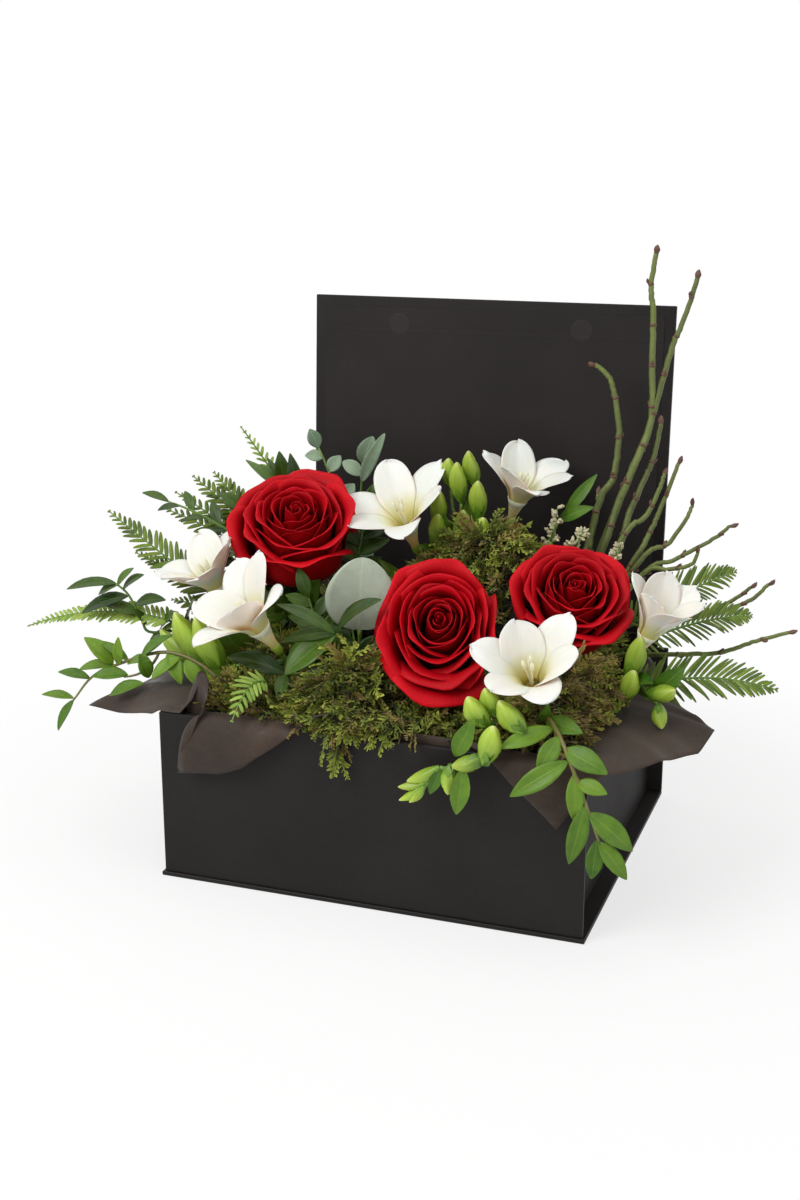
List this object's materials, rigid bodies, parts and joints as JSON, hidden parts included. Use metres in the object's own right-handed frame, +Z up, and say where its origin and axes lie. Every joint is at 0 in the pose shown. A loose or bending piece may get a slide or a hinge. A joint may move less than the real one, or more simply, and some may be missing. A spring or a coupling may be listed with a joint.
{
  "type": "flower box",
  "caption": "Book-style black gift box with an upright hinged lid, lined with brown paper and planted with red roses, white freesias, moss and trailing greenery.",
  "frame": {"origin": "middle of the base board's underside, on the table", "axes": "+X to the box's right seen from the front, +Y to the back where the lid is hinged, +Z up"},
  "size_m": [0.4679, 0.2548, 0.35],
  "materials": {
    "black_wrap": "black paper wrap, faint grain",
    "brown_paper": "fibrous nonwoven paper",
    "dish_plastic": "thin moulded plastic",
    "eucalyptus": "silvery bloom on leaf",
    "fern_green": "thin frond",
    "filler_cream": "tiny cream florets",
    "freesia_green": "fleshy buds and stem",
    "freesia_petal": "waxy white petals",
    "hinge_paper": "creased black paper",
    "leaf_green": "satin leaf",
    "lid_lining": "matte black lining sheet",
    "magnet": "plated disc",
    "moss": "moss",
    "rose_green": "stem and sepals",
    "rose_petal": "velvety petals",
    "stay_paper": "paper tape",
    "tray_wrap": "black paper wrap",
    "twig_bark": "ridged green bark",
    "wet_foam": "soaked florist foam"
  },
  "bodies": {
    "box": {"base_board": "black_wrap", "corner_stays": "stay_paper", "eucalyptus_leaf": "eucalyptus", "eucalyptus_sprig": "eucalyptus", "fern_left_high": "fern_green", "fern_left_low": "fern_green", "fern_left_middle": "fern_green", "fern_left_pale": "fern_green", "fern_right_high": "fern_green", "fern_right_low": "fern_green", "fern_right_middle": "fern_green", "filler_sprigs": "filler_cream", "foam_front": "wet_foam", "foam_rear": "wet_foam", "freesia_centre_bloom": "freesia_petal", "freesia_centre_stem": "freesia_green", "freesia_front_bloom": "freesia_petal", "freesia_front_stem": "freesia_green", "freesia_left_bloom": "freesia_petal", "freesia_left_stem": "freesia_green", "freesia_right_bloom": "freesia_petal", "freesia_right_stem": "freesia_green", "freesia_top_bloom": "freesia_petal", "freesia_top_stem": "freesia_green", "front_board": "black_wrap", "hinge_fold": "hinge_paper", "liner_dish": "dish_plastic", "lining_paper": "brown_paper", "moss_front": "moss", "moss_left": "moss", "moss_rear": "moss", "moss_right": "moss", "pistacia_left": "leaf_green", "rose_centre_bloom": "rose_petal", "rose_centre_stem": "rose_green", "rose_left_bloom": "rose_petal", "rose_left_stem": "rose_green", "rose_right_bloom": "rose_petal", "rose_right_stem": "rose_green", "ruscus_centre": "leaf_green", "ruscus_left": "leaf_green", "ruscus_rear": "leaf_green", "ruscus_trail": "leaf_green", "spine_board": "black_wrap", "spine_hinge_leaf": "hinge_paper", "tray_back_wall": "tray_wrap", "tray_floor": "tray_wrap", "tray_front_wall": "tray_wrap", "tray_left_wall": "tray_wrap", "tray_right_wall": "tray_wrap", "twigs_side": "twig_bark", "twigs_tall": "twig_bark"},
    "lid": {"lid_board": "black_wrap", "lid_liner": "lid_lining", "lid_magnets": "magnet", "lid_hinge_leaf": "hinge_paper"}
  },
  "joints": [
    {"name": "lid_hinge", "type": "hinge", "parent": "box", "child": "lid", "pos_m": [0, 0.1085, 0.1013], "axis": [1, 0, 0], "range_deg": [-110, 2.9]}
  ]
}
